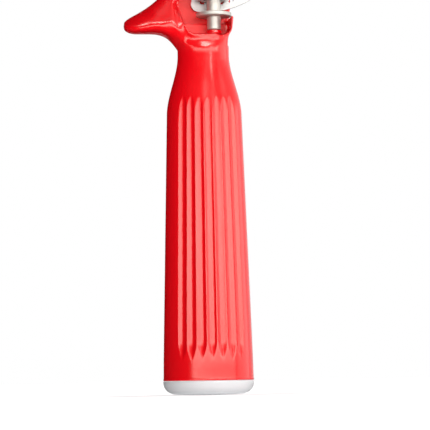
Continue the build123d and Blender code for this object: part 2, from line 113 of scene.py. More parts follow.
def grid_mesh(name, points, close_rows=False):
    """A rows x columns grid of points in mm becomes quads.
    Columns always close into rings, rows on request."""
    rows, columns = points.shape[:2]
    index = np.arange(rows * columns).reshape(rows, columns)
    index = np.concatenate([index, index[:, :1]], axis=1)
    if close_rows:
        index = np.concatenate([index, index[:1]], axis=0)
    corners = [index[:-1, :-1], index[:-1, 1:], index[1:, 1:], index[1:, :-1]]
    quads = np.stack(corners, axis=-1).reshape(-1, 4)
    mesh = bpy.data.meshes.new(name)
    mesh.from_pydata((points.reshape(-1, 3) * MM).tolist(), [], quads.tolist())
    finish_mesh(mesh)
    return mesh


def rounded(corners, radius, steps=6):
    """A polygon whose corners become arcs: an arc of that radius touches both sides of each corner."""
    corner = np.asarray(corners, float)
    before = np.roll(corner, 1, axis=0) - corner
    after = np.roll(corner, -1, axis=0) - corner
    before /= np.linalg.norm(before, axis=1, keepdims=True)
    after /= np.linalg.norm(after, axis=1, keepdims=True)
    half = 0.5 * np.arccos(np.clip((before * after).sum(axis=1), -1, 1))
    radius = np.broadcast_to(np.asarray(radius, float), half.shape)
    middle = before + after
    middle /= np.linalg.norm(middle, axis=1, keepdims=True)
    centre = corner + middle * (radius / np.sin(half))[:, None]
    first = corner + before * (radius / np.tan(half))[:, None] - centre
    last = corner + after * (radius / np.tan(half))[:, None] - centre
    turn = (np.pi - 2 * half)[:, None, None]
    share = np.linspace(0, 1, steps)[None, :, None]
    arc = (np.sin((1 - share) * turn) * first[:, None] + np.sin(share * turn) * last[:, None]) / np.sin(turn)
    return (centre[:, None] + arc).reshape(-1, 2)


def lathe(profile, columns, x, z=0.0, along_y=False):
    """Turns a profile of (radius, height) in mm about an upright line at x.
    With along_y it turns about a line along Y through x and z."""
    turn = np.linspace(0, 2 * np.pi, columns, endpoint=False)
    radius, height = profile[:, :1], profile[:, 1:] + 0 * turn
    across, beside = radius * np.cos(turn), radius * np.sin(turn)
    if along_y:
        return np.stack([x + across, height, z + beside], axis=-1)
    return np.stack([x + across, beside, z + height], axis=-1)


# %% [markdown]
# ## Light and camera
# The photo is a studio shot on pure white. The camera stands low, a little left of the front, and far away.
# One long, low soft light stands in front, and every groove of the grip mirrors it as a pink band. A light
# at the right fills that side. A key light and a narrow spot on the head brighten the front, and no surface
# mirrors them. Small lights high up draw the streak on the neck and the bright lines on the shoulder and the
# horn. Two of them are mirrored only, so they leave the plain brightness as it is.

# %% Camera
def aim(thing, target, roll=0.0):
    """Points a camera or lamp at a place, then rolls it about its own line of sight."""
    turn = (Vector(target) - thing.location).to_track_quat("-Z", "Y")
    thing.rotation_mode = "QUATERNION"
    thing.rotation_quaternion = turn @ Matrix.Rotation(roll, 4, "Z").to_quaternion()


def polar(azimuth, height, distance):
    """A place at a distance from the upright axis: azimuth 0 is in front, 90 at the right."""
    angle = math.radians(azimuth)
    return Vector((distance * math.sin(angle), -distance * math.cos(angle), height))


CAMERA_AZIMUTH, CAMERA_HEIGHT, CAMERA_DISTANCE = -7, 0.005, 0.783
TARGET_HEIGHT, TARGET_SIDE, CAMERA_ROLL = 0.0614, 0.0031, -1.0
camera = bpy.data.objects.new("camera", bpy.data.cameras.new("camera"))
scene.collection.objects.link(camera)
scene.camera = camera
camera.data.lens = 192
camera.data.sensor_width = 36
camera.data.clip_start = 0.01
camera.data.clip_end = 20
sideways = TARGET_SIDE * polar(CAMERA_AZIMUTH + 90, 0, 1)
camera.location = polar(CAMERA_AZIMUTH, CAMERA_HEIGHT, CAMERA_DISTANCE) + sideways
aim(camera, Vector((0, 0, TARGET_HEIGHT)) + sideways, math.radians(CAMERA_ROLL))
print("camera at", [round(v, 3) for v in camera.location])


# %% Lamps
LAMP_TARGET, HEAD_TARGET = (0, 0, 0.1), (0.002, 0, 0.13)


def soft_light(name, azimuth, height, distance, size, watts, color=(1, 1, 1), roll=0):
    """A rectangular lamp of that size in metres, aimed at the upper part of the grip."""
    lamp = bpy.data.lights.new(name, "AREA")
    lamp.color = color
    lamp.shape = "RECTANGLE"
    lamp.size, lamp.size_y = size
    lamp.energy = watts
    holder = bpy.data.objects.new(name, lamp)
    scene.collection.objects.link(holder)
    holder.location = polar(azimuth, height, distance)
    holder.visible_camera = False
    aim(holder, LAMP_TARGET, math.radians(roll))
    return holder


soft_light("long_light", azimuth=10, height=0.165, distance=0.9, size=(2.15, 0.25), watts=10.1,
           color=(1, 0.985, 0.96), roll=1.5)
soft_light("side_light", azimuth=90, height=0.16, distance=0.9, size=(0.8, 0.4), watts=1.6)
key_light = soft_light("key_light", azimuth=40, height=0.3, distance=1.0, size=(0.6, 0.5), watts=1.2)
key_light.visible_glossy = False
soft_light("streak_light", azimuth=26, height=0.48, distance=1.1, size=(0.10, 0.19), watts=0.6)
top_light = soft_light("top_light", azimuth=34, height=0.81, distance=0.88, size=(1.35, 0.15), watts=13.9)
top_light.visible_diffuse = False
horn_light = soft_light("horn_light", azimuth=-28, height=0.9, distance=0.75, size=(0.7, 0.16), watts=6.0)
horn_light.visible_diffuse = False
fill_lamp = bpy.data.lights.new("head_fill", "SPOT")
fill_lamp.energy = 12
fill_lamp.spot_size = math.radians(2.6)
fill_lamp.spot_blend = 1.0
fill_lamp.shadow_soft_size = 0.06
head_fill = bpy.data.objects.new("head_fill", fill_lamp)
scene.collection.objects.link(head_fill)
head_fill.location = polar(azimuth=14, height=0.24, distance=1.0)
head_fill.visible_glossy = False
aim(head_fill, HEAD_TARGET)
print("lamps:", len(bpy.data.lights))

# %% [markdown]
# ## White surroundings
# The camera and shiny surfaces see a white room, while the room adds only a little plain light of its own.
# The floor is white in the same way. Close to the foot it glows less, a painted shade round the foot,
# and the real shadow shows in it too.
# Black cards stand where the plastic has to stay deep red, and only reflections show them.

# %% Room
def white_rays(nodes, links):
    """One for rays that look at the surroundings, straight or in metal or glass, and zero for the others."""
    path = nodes.new("ShaderNodeLightPath")
    first = nodes.new("ShaderNodeMath")
    first.operation = "MAXIMUM"
    second = nodes.new("ShaderNodeMath")
    second.operation = "MAXIMUM"
    links.new(path.outputs["Is Camera Ray"], first.inputs[0])
    links.new(path.outputs["Is Glossy Ray"], first.inputs[1])
    links.new(first.outputs[0], second.inputs[0])
    links.new(path.outputs["Is Transmission Ray"], second.inputs[1])
    return second.outputs[0]


world = bpy.data.worlds.new("studio")
scene.world = world
world.use_nodes = True
nodes, links = world.node_tree.nodes, world.node_tree.links
level = nodes.new("ShaderNodeMapRange")
level.inputs["To Min"].default_value = 0.22
level.inputs["To Max"].default_value = 1.0
links.new(white_rays(nodes, links), level.inputs["Value"])
nodes["Background"].inputs["Color"].default_value = (1, 1, 1, 1)
links.new(level.outputs["Result"], nodes["Background"].inputs["Strength"])
print("room gives", round(level.inputs["To Min"].default_value, 2), "of its light to matt surfaces")


# %% Floor
def panel(name, corners, material):
    """A flat sheet of the stage with four corners in metres."""
    mesh = bpy.data.meshes.new(name)
    mesh.from_pydata(corners, [], [(0, 1, 2, 3)])
    mesh.materials.append(material)
    sheet = bpy.data.objects.new(name, mesh)
    scene.collection.objects.link(sheet)
    return sheet


floor_paint = bpy.data.materials.new("floor_paint")
floor_paint.use_nodes = True
nodes, links = floor_paint.node_tree.nodes, floor_paint.node_tree.links
matt = nodes["Principled BSDF"]
matt.inputs["Base Color"].default_value = (0.82, 0.82, 0.82, 1)
matt.inputs["Roughness"].default_value = 1.0
matt.inputs["Specular IOR Level"].default_value = 0.0
matt.inputs["Emission Color"].default_value = (1, 1, 1, 1)
place = nodes.new("ShaderNodeTexCoord")
away = nodes.new("ShaderNodeVectorMath")
away.operation = "LENGTH"
# Painted shade: the floor's glow drops close to the foot, and the real shadow shows there as well.
painted_foot_shade = nodes.new("ShaderNodeMapRange")
painted_foot_shade.interpolation_type = "SMOOTHSTEP"
painted_foot_shade.inputs["From Min"].default_value = 0.02
painted_foot_shade.inputs["From Max"].default_value = 0.08
painted_foot_shade.inputs["To Min"].default_value = 0.55
painted_foot_shade.inputs["To Max"].default_value = 1.0
glow = nodes.new("ShaderNodeMath")
glow.operation = "MULTIPLY"
links.new(place.outputs["Object"], away.inputs[0])
links.new(away.outputs["Value"], painted_foot_shade.inputs["Value"])
links.new(painted_foot_shade.outputs["Result"], glow.inputs[0])
bounce = nodes.new("ShaderNodeMapRange")
bounce.inputs["To Min"].default_value = 0.34
bounce.inputs["To Max"].default_value = 1.0
links.new(white_rays(nodes, links), bounce.inputs["Value"])
links.new(bounce.outputs["Result"], glow.inputs[1])
links.new(glow.outputs[0], matt.inputs["Emission Strength"])
panel("floor", [(-6, -6, 0), (6, -6, 0), (6, 6, 0), (-6, 6, 0)], floor_paint)
print("floor is darker within", round(painted_foot_shade.inputs["From Max"].default_value, 2), "m of the grip's axis")


# %% Black cards
def upright(left, right, y, low, high):
    """Corners of an upright sheet that faces the scoop from the front or from behind."""
    return [(left, y, low), (right, y, low), (right, y, high), (left, y, high)]


black = bpy.data.materials.new("black_card")
black.use_nodes = True
velvet = black.node_tree.nodes["Principled BSDF"]
velvet.inputs["Base Color"].default_value = (0.002, 0.002, 0.002, 1)
velvet.inputs["Specular IOR Level"].default_value = 0.0
cards = [
    panel("left_card", [(-0.12, -0.13, 0), (-0.12, 1.5, 0), (-0.12, 1.5, 0.5), (-0.12, -0.13, 0.5)], black),
    panel("front_card", upright(-1.2, 0.05, -1.1, 0.4, 2.4), black),
    panel("high_card", upright(-1.2, 1.6, -1.2, 0.62, 2.4), black),
    panel("low_card", [(-1.2, -1.1, 0.001), (0.3, -1.1, 0.001), (0.3, 1, 0.001), (-1.2, 1, 0.001)], black),
]
for card in cards:
    card.visible_camera = False
    card.visible_diffuse = False
    card.visible_shadow = False
print("black cards:", len(cards))

# %% [markdown]
# ## Finishes
# Every finish is one shader whose colour, roughness and fine relief follow noise in the piece's own place,
# so it stays on the piece when it moves. Moulded plastic has a faint even skin. Inside the window it is
# duller, and its colour there is painted lighter, a painted light for the shaded recess. Turned bar has rings
# across its axis and stamped sheet a rolled grain along it. Both come out of a tumbling drum, which leaves
# them half mirror and half pale, so they are only partly metallic. The bowl is polished until only haze is
# left.

# %% Finish helper
def finish(name, color, dark, metallic, rough, scale, stretch, relief, specular=0.5):
    """One Principled material. The noise is stretched to the grain's direction, and scale counts its grains
    per metre. The colour runs from dark to color and the roughness over the pair rough. The relief is a
    height in metres."""
    material = bpy.data.materials.new(name)
    material.use_nodes = True
    nodes, links = material.node_tree.nodes, material.node_tree.links
    shader = nodes["Principled BSDF"]
    shader.inputs["Metallic"].default_value = metallic
    shader.inputs["Specular IOR Level"].default_value = specular
    place = nodes.new("ShaderNodeTexCoord")
    grain_place = nodes.new("ShaderNodeMapping")
    grain_place.inputs["Scale"].default_value = stretch
    links.new(place.outputs["Object"], grain_place.inputs["Vector"])
    grain = nodes.new("ShaderNodeTexNoise")
    grain.inputs["Scale"].default_value = scale
    grain.inputs["Detail"].default_value = 4.0
    links.new(grain_place.outputs["Vector"], grain.inputs["Vector"])
    cloud = nodes.new("ShaderNodeTexNoise")
    cloud.inputs["Scale"].default_value = 55.0
    cloud.inputs["Detail"].default_value = 3.0
    links.new(place.outputs["Object"], cloud.inputs["Vector"])
    tint = nodes.new("ShaderNodeMix")
    tint.data_type = "RGBA"
    tint.inputs["A"].default_value = (*dark, 1)
    tint.inputs["B"].default_value = (*color, 1)
    links.new(cloud.outputs["Fac"], tint.inputs["Factor"])
    links.new(tint.outputs["Result"], shader.inputs["Base Color"])
    spread = nodes.new("ShaderNodeMapRange")
    spread.inputs["From Min"].default_value = 0.3
    spread.inputs["From Max"].default_value = 0.7
    spread.inputs["To Min"].default_value = rough[0]
    spread.inputs["To Max"].default_value = rough[1]
    links.new(grain.outputs["Fac"], spread.inputs["Value"])
    links.new(spread.outputs["Result"], shader.inputs["Roughness"])
    bump = nodes.new("ShaderNodeBump")
    bump.inputs["Strength"].default_value = 1.0
    bump.inputs["Distance"].default_value = relief
    links.new(grain.outputs["Fac"], bump.inputs["Height"])
    links.new(bump.outputs["Normal"], shader.inputs["Normal"])
    return material


def paint(thing, material):
    """Gives a piece one material."""
    thing.data.materials.clear()
    thing.data.materials.append(material)


# %% The finishes of this scoop
HIGHLIGHT_TINT = (1, 0.94, 0.84, 1)
EVEN = (1, 1, 1)
red_plastic = finish("red_plastic", (0.82, 0.0006, 0.006), (0.77, 0.0004, 0.005), metallic=0,
                     rough=(0.17, 0.21), scale=1600, stretch=EVEN, relief=3e-8)
# The red inside the window is painted lighter than the red outside: painted light for the shaded recess.
red_inside_painted_light = finish("red_inside_painted_light", (0.93, 0.010, 0.018), (0.88, 0.008, 0.015), metallic=0,
                    rough=(0.45, 0.55), scale=1600, stretch=EVEN, relief=3e-8)
for red in (red_plastic, red_inside_painted_light):
    red.node_tree.nodes["Principled BSDF"].inputs["Specular Tint"].default_value = HIGHLIGHT_TINT
grey_plastic = finish("grey_plastic", (0.73, 0.74, 0.76), (0.69, 0.70, 0.72), metallic=0,
                      rough=(0.36, 0.46), scale=900, stretch=EVEN, relief=3e-6, specular=0.4)
turned_steel = finish("turned_steel", (0.52, 0.49, 0.45), (0.44, 0.41, 0.37), metallic=0.5,
                      rough=(0.36, 0.50), scale=120, stretch=(1, 1, 60), relief=4e-6)
cut_steel = finish("cut_steel", (0.50, 0.48, 0.45), (0.42, 0.40, 0.37), metallic=0.6,
                   rough=(0.32, 0.46), scale=800, stretch=(1, 1, 3), relief=4e-6)
sheet_steel = finish("sheet_steel", (0.48, 0.47, 0.46), (0.42, 0.41, 0.40), metallic=0.5,
                     rough=(0.36, 0.48), scale=160, stretch=(1, 6, 22), relief=3e-6)
spring_steel = finish("spring_steel", (0.62, 0.62, 0.63), (0.48, 0.48, 0.49), metallic=1,
                      rough=(0.22, 0.36), scale=1500, stretch=EVEN, relief=2e-6)
bowl_steel = finish("bowl_steel", (0.74, 0.74, 0.73), (0.69, 0.69, 0.68), metallic=1,
                    rough=(0.10, 0.20), scale=260, stretch=(1, 30, 1), relief=1e-6)
white_acetal = finish("white_acetal", (0.85, 0.84, 0.80), (0.78, 0.77, 0.73), metallic=0,
                      rough=(0.4, 0.5), scale=700, stretch=EVEN, relief=2e-6)
looks = {
    "handle_plastic": red_plastic, "cap_plastic": grey_plastic, "bar_steel": turned_steel,
    "gear_steel": cut_steel, "sheet_steel": sheet_steel, "spring_steel": spring_steel,
    "bowl_steel": bowl_steel, "bearing_plastic": white_acetal,
}
for part in frame["record"]["subparts"]:
    paint(frame["nodes"][part["node"]], looks[part["material_slot"]])
print("finishes:", len(looks))

# %% [markdown]
# ## The grip
# The grip is an oval that tapers upwards and then draws in to the neck. Seven round grooves run along its
# front and seven along its back, so that a wet hand holds it. In the mould each groove is a round rib. The
# surface below is the oval, lowered along its normal to the far side of each round rib.

# %% Oval of the grip
SEAM, SHOULDER, NECK = 4.9, 95.5, 116.5
FRONT_SHOULDER, NECK_TOP = 92.0, 119.5
JOIN = 110.0
LOW_WIDTH, LOW_DEPTH = 31.0, 26.4
TAPER_WIDTH, TAPER_DEPTH = 5.2, 4.4
NECK_WIDTH_LOSS, NECK_DEPTH_LOSS = 8.1, 6.0


def s_curve(value, low, high):
    """Zero below low and one above high, with a smooth S between."""
    share = np.clip((value - low) / (high - low), 0, 1)
    return share * share * (3 - 2 * share)


def early_curve(value, low, high):
    """Zero below low and one above high, with most of the bend near low."""
    rest = 1 - np.clip((value - low) / (high - low), 0, 1)
    return 1 - rest**2.5 * (3.5 - 2.5 * rest)


def oval(z, straight=False):
    """Half width and half depth at heights z: a straight taper, then curves that draw in to the neck.
    The curve of the depth starts lower and ends higher. With straight, the taper runs on instead."""
    taper = (z - SEAM) / (SHOULDER - SEAM)
    if straight:
        return (LOW_WIDTH - TAPER_WIDTH * taper) / 2, (LOW_DEPTH - TAPER_DEPTH * taper) / 2
    taper = np.minimum(taper, 1)
    side, front = s_curve(z, SHOULDER, NECK), early_curve(z, FRONT_SHOULDER, NECK_TOP)
    width = LOW_WIDTH - TAPER_WIDTH * taper - NECK_WIDTH_LOSS * side
    depth = LOW_DEPTH - TAPER_DEPTH * taper - NECK_DEPTH_LOSS * front
    return width / 2, depth / 2


def ring(wide, deep, turn):
    """Points of an oval by their turn from the front."""
    return np.stack([wide * np.sin(turn), -deep * np.cos(turn)], axis=-1)


def facing(wide, deep, turn):
    """Outward direction of an oval."""
    out = np.stack([np.sin(turn) / wide, -np.cos(turn) / deep], axis=-1)
    return out / np.linalg.norm(out, axis=-1, keepdims=True)


print("neck", [round(2 * float(half), 1) for half in oval(np.array(NECK))], "mm wide and deep")


# %% Grooves and the rim at the foot
FLUTE_TIP, FLUTE_FULL = 11.2, 18.4
FLUTE_RADIUS, FLUTE_DEPTH = 2.1, 0.85
FLUTE_TURNS = np.radians(np.arange(-3, 4) * 13.6)
RIB_NEAR = 4
RIM_TOP, RIM_DEPTH = SEAM + 0.9, 0.07
RIM_STEEP, RIM_SLOW = 0.16, 4.0


def flute_depth(z, turn, radius=FLUTE_RADIUS, depth=FLUTE_DEPTH):
    """How deep the ribs reach: from each point the inward normal is followed to the far side of a rib's
    circle. Towards the foot the circle shrinks, until it only touches the oval."""
    point, normal = ring(*oval(z), turn), facing(*oval(z), turn)
    size = radius - depth * (1 - s_curve(z, FLUTE_TIP, FLUTE_FULL))
    deepest = np.zeros(np.broadcast(z, turn).shape)
    for side in (0, np.pi):
        for place in FLUTE_TURNS:
            bearing = np.full_like(turn, side - place if side else place)
            wide, deep = oval(z, straight=True)
            axis = ring(wide, deep, bearing) + facing(wide, deep, bearing) * (radius - depth)
            gap = point - axis
            along = (gap * normal).sum(axis=-1)
            space = along**2 - (gap**2).sum(axis=-1) + size**2
            reach = along + np.sqrt(np.maximum(space, 0))
            near = (space > 0) & (np.linalg.norm(gap, axis=-1) < RIB_NEAR)
            deepest = np.maximum(deepest, np.where(near, reach, 0))
    return deepest


def softened(field, times):
    """Averages a field with its neighbours round the grip, which rounds the sharp ridges between grooves."""
    for _ in range(times):
        field = 0.5 * field + 0.25 * (np.roll(field, 1, axis=1) + np.roll(field, -1, axis=1))
    return field


def rim_groove(z):
    """A shallow groove that leaves a narrow rim round the grip's foot: steep below its middle, slow above."""
    return RIM_DEPTH * np.exp(-((z - RIM_TOP) / np.where(z < RIM_TOP, RIM_STEEP, RIM_SLOW))**2)


print("grooves:", 2 * len(FLUTE_TURNS))


# %% Grip surface
HAIRLINE, EDGE = 0.05, 0.3
LIP_INSET = 1.6
edge = np.linspace(0, np.pi / 2, 6)
foot = SEAM + HAIRLINE + np.concatenate([[0], EDGE * (1 - np.cos(edge))])
heights = np.concatenate([foot, np.linspace(5.3, 6.2, 19), np.linspace(6.6, 11, 6), np.linspace(11.3, 20, 36),
                          np.linspace(22, 88, 20), np.linspace(89, JOIN, 62)])
inset = np.concatenate([[LIP_INSET], EDGE * (1 - np.sin(edge)), rim_groove(heights[len(foot):])])
turn = np.linspace(0, 2 * np.pi, 640, endpoint=False)[None, :]
z = heights[:, None]
depth = softened(flute_depth(z, turn), 3) + inset[:, None]
flat = ring(*oval(z), turn) - facing(*oval(z), turn) * depth[..., None]
points = np.concatenate([flat, np.broadcast_to(z[..., None], depth.shape + (1,))], axis=-1)
grip = add_piece("grip", grid_mesh("grip", points), "body", "handle_plastic", "handle")
paint(grip, red_plastic)
print("deepest flute", round(float(depth[len(foot):].max()), 2), "mm")

# %% [markdown]
# ## The end cap
# A pale cap plugs the hollow grip. Its foot is a very flat dome, its edge is well rounded, and a hairline
# parts it from the grip. It is the same oval again, drawn in along the edge by a quarter of an ellipse.

# %% Cap surface
EDGE_WIDE, EDGE_HIGH, DOME = 4.4, 4.0, 0.3
wide, deep = oval(np.array(SEAM))
core = np.linspace(0, 1, 8)[:-1, None]
bend = np.linspace(0, np.pi / 2, 18)
cap_top = SEAM - HAIRLINE
inset = np.concatenate([EDGE_WIDE * (1 - np.sin(bend)), EDGE * (1 - np.cos(edge[1:])), [LIP_INSET]])
lower, upper = DOME + EDGE_HIGH * (1 - np.cos(bend)), cap_top - EDGE + EDGE * np.sin(edge[1:])
heights = np.concatenate([lower, upper, [cap_top]])
turn = np.linspace(0, 2 * np.pi, 200, endpoint=False)[None, :]
foot = ring((wide - EDGE_WIDE) * core, (deep - EDGE_WIDE) * core, turn)
wall = ring(wide - inset[:, None], deep - inset[:, None], turn)
flat = np.concatenate([foot, wall])
level = np.concatenate([DOME * core[:, 0]**2, heights])[:, None, None] + 0 * flat[..., :1]
cap_mesh = grid_mesh("cap", np.concatenate([flat, level], axis=-1))
cap = add_piece("cap", cap_mesh, "body", "cap_plastic", "end_cap")
paint(cap, grey_plastic)
print("cap", round(2 * float(wide), 1), "mm wide,", cap_top, "mm high")

# %% [markdown]
# ## The head
# The head, the horn that guards the finger and the window are one moulding with the grip, and the mould's
# edges are soft everywhere. The CAD shape is cut off below the neck and filled with small even cells. The
# cells' surface is then smoothed in steps that shrink and swell it in turn, so that edges turn round while
# the volume stays.

# %% Helpers for meshes
def copied(node):
    """A merged copy of a CAD node's mesh."""
    work = bmesh.new()
    work.from_mesh(frame["nodes"][node].data)
    bmesh.ops.remove_doubles(work, verts=work.verts, dist=1e-6)
    return work


def evaluated(mesh, kind, **settings):
    """The mesh after one modifier."""
    holder = bpy.data.objects.new("holder", mesh)
    scene.collection.objects.link(holder)
    modifier = holder.modifiers.new(kind.lower(), kind)
    for key, value in settings.items():
        setattr(modifier, key, value)
    done = bpy.data.meshes.new_from_object(holder.evaluated_get(bpy.context.evaluated_depsgraph_get()))
    bpy.data.objects.remove(holder)
    return done


def cut_below(work, height, close):
    """Cuts a mesh at a height in mm and keeps what is above, with the cut closed on request."""
    geometry = list(work.verts) + list(work.edges) + list(work.faces)
    cut = bmesh.ops.bisect_plane(work, geom=geometry, dist=1e-7, plane_co=(0, 0, height * MM),
                                 plane_no=(0, 0, 1), clear_inner=True)["geom_cut"]
    if close:
        bmesh.ops.edgeloop_fill(work, edges=[item for item in cut if isinstance(item, bmesh.types.BMEdge)])


def vectors(items, field):
    """One vector of each vertex, normal or face of a mesh, as rows of an array."""
    flat = np.empty(3 * len(items))
    items.foreach_get(field, flat)
    return flat.reshape(-1, 3)


def neighbours_mean(values, edges, count):
    """The mean of each point's neighbours along the edges."""
    first, second = edges.T
    total = [np.bincount(first, column[second], len(values)) + np.bincount(second, column[first], len(values))
             for column in values.T]
    return np.stack(total, axis=1) / count[:, None]


# %% Cells and soft edges
BLOCK_CUT, CELL, QUICK_CELL = 104.0, 0.30, 0.45
SHRINK, SWELL, ROUND_STEPS = 0.55, 0.56, 16
work = copied("handle")
cut_below(work, BLOCK_CUT, True)
block = bpy.data.meshes.new("head_block")
work.to_mesh(block)
work.free()
cell = CELL
head_mesh = evaluated(block, "REMESH", mode="VOXEL", voxel_size=cell * MM)
place = vectors(head_mesh.vertices, "co")
edges = np.empty(2 * len(head_mesh.edges), dtype=np.int64)
head_mesh.edges.foreach_get("vertices", edges)
edges = edges.reshape(-1, 2)
count = np.bincount(edges.ravel(), minlength=len(place))
for step in range(ROUND_STEPS):
    place += SHRINK * (neighbours_mean(place, edges, count) - place)
    place -= SWELL * (neighbours_mean(place, edges, count) - place)
print("head cells of", cell, "mm give", len(place), "points")

# %% [markdown]
# The neck's front and back follow the grip's own curve. The front of the horn leans back above its middle
# and slides down, so that its upper side looks at the lamps. The horn's half depth, half height and middle
# are given at a few distances from the grip's axis. The edge beside the window leans back with it.

# %% Neck and horn
SHOULDER_HALF_DEPTH, NECK_HALF_DEPTH = 11.0, 8.0
HORN_REACH = [10, 13, 17.5, 22.7, 27]
HORN_LEAN, HORN_SLIDE, EDGE_LEAN = 0.4, 0.44, 0.35
place /= MM
x, y, z = place.T
cad_depth = SHOULDER_HALF_DEPTH - (SHOULDER_HALF_DEPTH - NECK_HALF_DEPTH) * s_curve(z, SHOULDER, NECK)
y *= np.where(z < NECK_TOP, oval(z)[1] / cad_depth, 1)
reach = -x
half_depth = np.interp(reach, [10, 17.5, 22.7, 27], [8.4, 7.8, 6.1, 2.5])
half_height = np.interp(reach, HORN_REACH, [9.0, 7.8, 5.2, 3.5, 1.0])
middle = np.interp(reach, HORN_REACH, [130.8, 130.6, 129.1, 127.4, 126.8])
on_horn = s_curve(reach, 8.5, 11.5)
forward = np.clip((0.8 - y) / half_depth, 0, 1) * on_horn
y += HORN_LEAN * np.clip(z - middle, -half_height, half_height) * forward
beside = s_curve(reach, 5.0, 8.0) * (1 - on_horn) * s_curve(-y, 1, 4)
y += EDGE_LEAN * np.clip(z - 127, 0, 9) * (1 - s_curve(z, 133, 147)) * beside
z -= HORN_SLIDE * half_height * forward**2
place *= MM
print("horn reaches", round(float(reach.max()), 1), "mm from the grip's axis")

# %% [markdown]
# In the photo a soft crest runs along the horn, bends down at its root and crosses the neck as a bright bar.
# A shallow valley keeps it apart from the window. Both are lines in the photo's view, in millimetres to the
# right and up. Points near them are calmed first, and then moved outwards on the crest and inwards in the
# valley.

# %% Crest and valley
CREST = [(-17, 127.1), (-11.5, 127.1), (-9.6, 126.7), (-8.6, 125.3), (-7.6, 122.6), (-5.2, 120.1),
         (0, 119.8), (4.8, 120.1), (7.9, 121.4)]
VALLEY = [(-9.0, 136), (-8.0, 130), (-6.4, 126), (-4.6, 123.2), (-3, 122.4), (0, 122.1), (5, 122.4),
          (7, 123.2)]
VIEW_SHIFT = np.array([0.12, 0.15])
LINE_WIDTH, CREST_CALM, VALLEY_CALM, LAST_CALM = 1.3, 2.8, 1.8, 4
CALM_STEPS, LAST_STEPS = 240, 12
CREST_RISE, VALLEY_SINK = 0.22, 0.12
ROOT_RISE, ROOT_SINK = 0.3, 0.4


def off_line(line, place):
    """How far each point is from a broken line in the photo's view, in mm. The camera stands low and at the
    left, so a point nearer to it is seen further right and higher."""
    seen = place[:, [0, 2]] - place[:, [1]] * VIEW_SHIFT
    spot, corner = seen[:, None] / MM, np.array(line, float)
    start, run = corner[:-1], np.diff(corner, axis=0)
    share = np.clip(((spot - start) * run).sum(axis=-1) / (run**2).sum(axis=-1), 0, 1)
    return np.linalg.norm(spot - start - share[..., None] * run, axis=-1).min(axis=1)


def bell(distance, width):
    """One on a line, and fading to zero over about twice the width."""
    return np.exp(-(distance / width)**2)


def calmed(place, weight, edges, steps):
    """Draws each point towards its neighbours' mean, by its own weight between zero and one."""
    links = edges[(weight[edges] > 0.01).any(axis=1)]
    used, links = np.unique(links, return_inverse=True)
    links = links.reshape(-1, 2)
    spots, count = place[used], np.bincount(links.ravel(), minlength=len(used))
    pull = 0.5 * np.where(weight[used] > 0.01, weight[used], 0)[:, None]
    for step in range(steps):
        spots += pull * (neighbours_mean(spots, links, count) - spots)
    place[used] = spots


front = s_curve(-place[:, 1] / MM, 1.0, 4.0)
crest, valley = off_line(CREST, place), off_line(VALLEY, place)
calmed(place, front * np.maximum(bell(crest, CREST_CALM), bell(valley, VALLEY_CALM)), edges, CALM_STEPS)
head_mesh.vertices.foreach_set("co", place.ravel())
head_mesh.update()
normal = vectors(head_mesh.vertex_normals, "vector")
reach = -place[:, 0] / MM
root = s_curve(reach, 4.0, 7.0) * (1 - s_curve(reach, 11.0, 15.0))
rising = (CREST_RISE + ROOT_RISE * root) * bell(crest, LINE_WIDTH)
sinking = (VALLEY_SINK + ROOT_SINK * root) * bell(valley, LINE_WIDTH)
swell = rising - sinking
place += normal * (MM * front * swell)[:, None]
calmed(place, front * bell(crest, LAST_CALM), edges, LAST_STEPS)
print("crest rises", round(float(swell.max()), 2), "mm, valley sinks", round(float(-swell.min()), 2), "mm")

# %% [markdown]
# Near the cut the points are led onto the grip's oval, so that the two halves meet. The head stays inside
# the box of the CAD handle. The faces in the window that look at the spindle get the duller red, which is
# painted lighter as a painted light for the shaded recess.

# %% Head surface
LEAD_LOW, LEAD_HIGH = 111.0, 114.0
WINDOW_LOW, WINDOW_HIGH, WINDOW_SIDE = 124.0, 157, 8.4
WINDOW_FRONT, WINDOW_BACK = -7.4, 8
place = np.clip(place, *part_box("handle"))
led = 1 - s_curve(place[:, 2] / MM, LEAD_LOW, LEAD_HIGH)
wide, deep = oval(place[:, 2] / MM)
ratio = np.hypot(place[:, 0] / (wide * MM), place[:, 1] / (deep * MM))
place[:, :2] *= (1 + led * (1 / np.maximum(ratio, 0.2) - 1))[:, None]
head_mesh.vertices.foreach_set("co", place.ravel())
work = bmesh.new()
work.from_mesh(head_mesh)
cut_below(work, JOIN, False)
work.to_mesh(head_mesh)
work.free()
head_mesh.polygons.foreach_set("use_smooth", np.ones(len(head_mesh.polygons), dtype=bool))
head_mesh.update()
head = add_piece("head", head_mesh, "body", "handle_plastic", "handle")
paint(head, red_plastic)
# The second red is the lighter copy, painted light for the shaded window.
head_mesh.materials.append(red_inside_painted_light)
x, y, z = vectors(head_mesh.polygons, "center").T / MM
across, ahead, upward = vectors(head_mesh.polygons, "normal").T
# Mask of the window faces that get the painted lighter red.
inside = (z > WINDOW_LOW) & (z < WINDOW_HIGH) & (np.abs(x) < WINDOW_SIDE)
inside &= (y > WINDOW_FRONT) & (y < WINDOW_BACK)
inside &= ((axis_x - x) * across - y * ahead > 0) | (upward > 0.5)
head_mesh.polygons.foreach_set("material_index", inside.astype(np.int32))
print("faces inside the window", int(inside.sum()))

# %% [markdown]
# ## Turned pieces
# The spindle, its retaining disc and the rivet at the bowl's far end come off a lathe, so each is a profile
# that is swept round an axis. A lathe tool and a tumbling drum leave small round edges, and on a bright rod
# these edges are what catches the light.

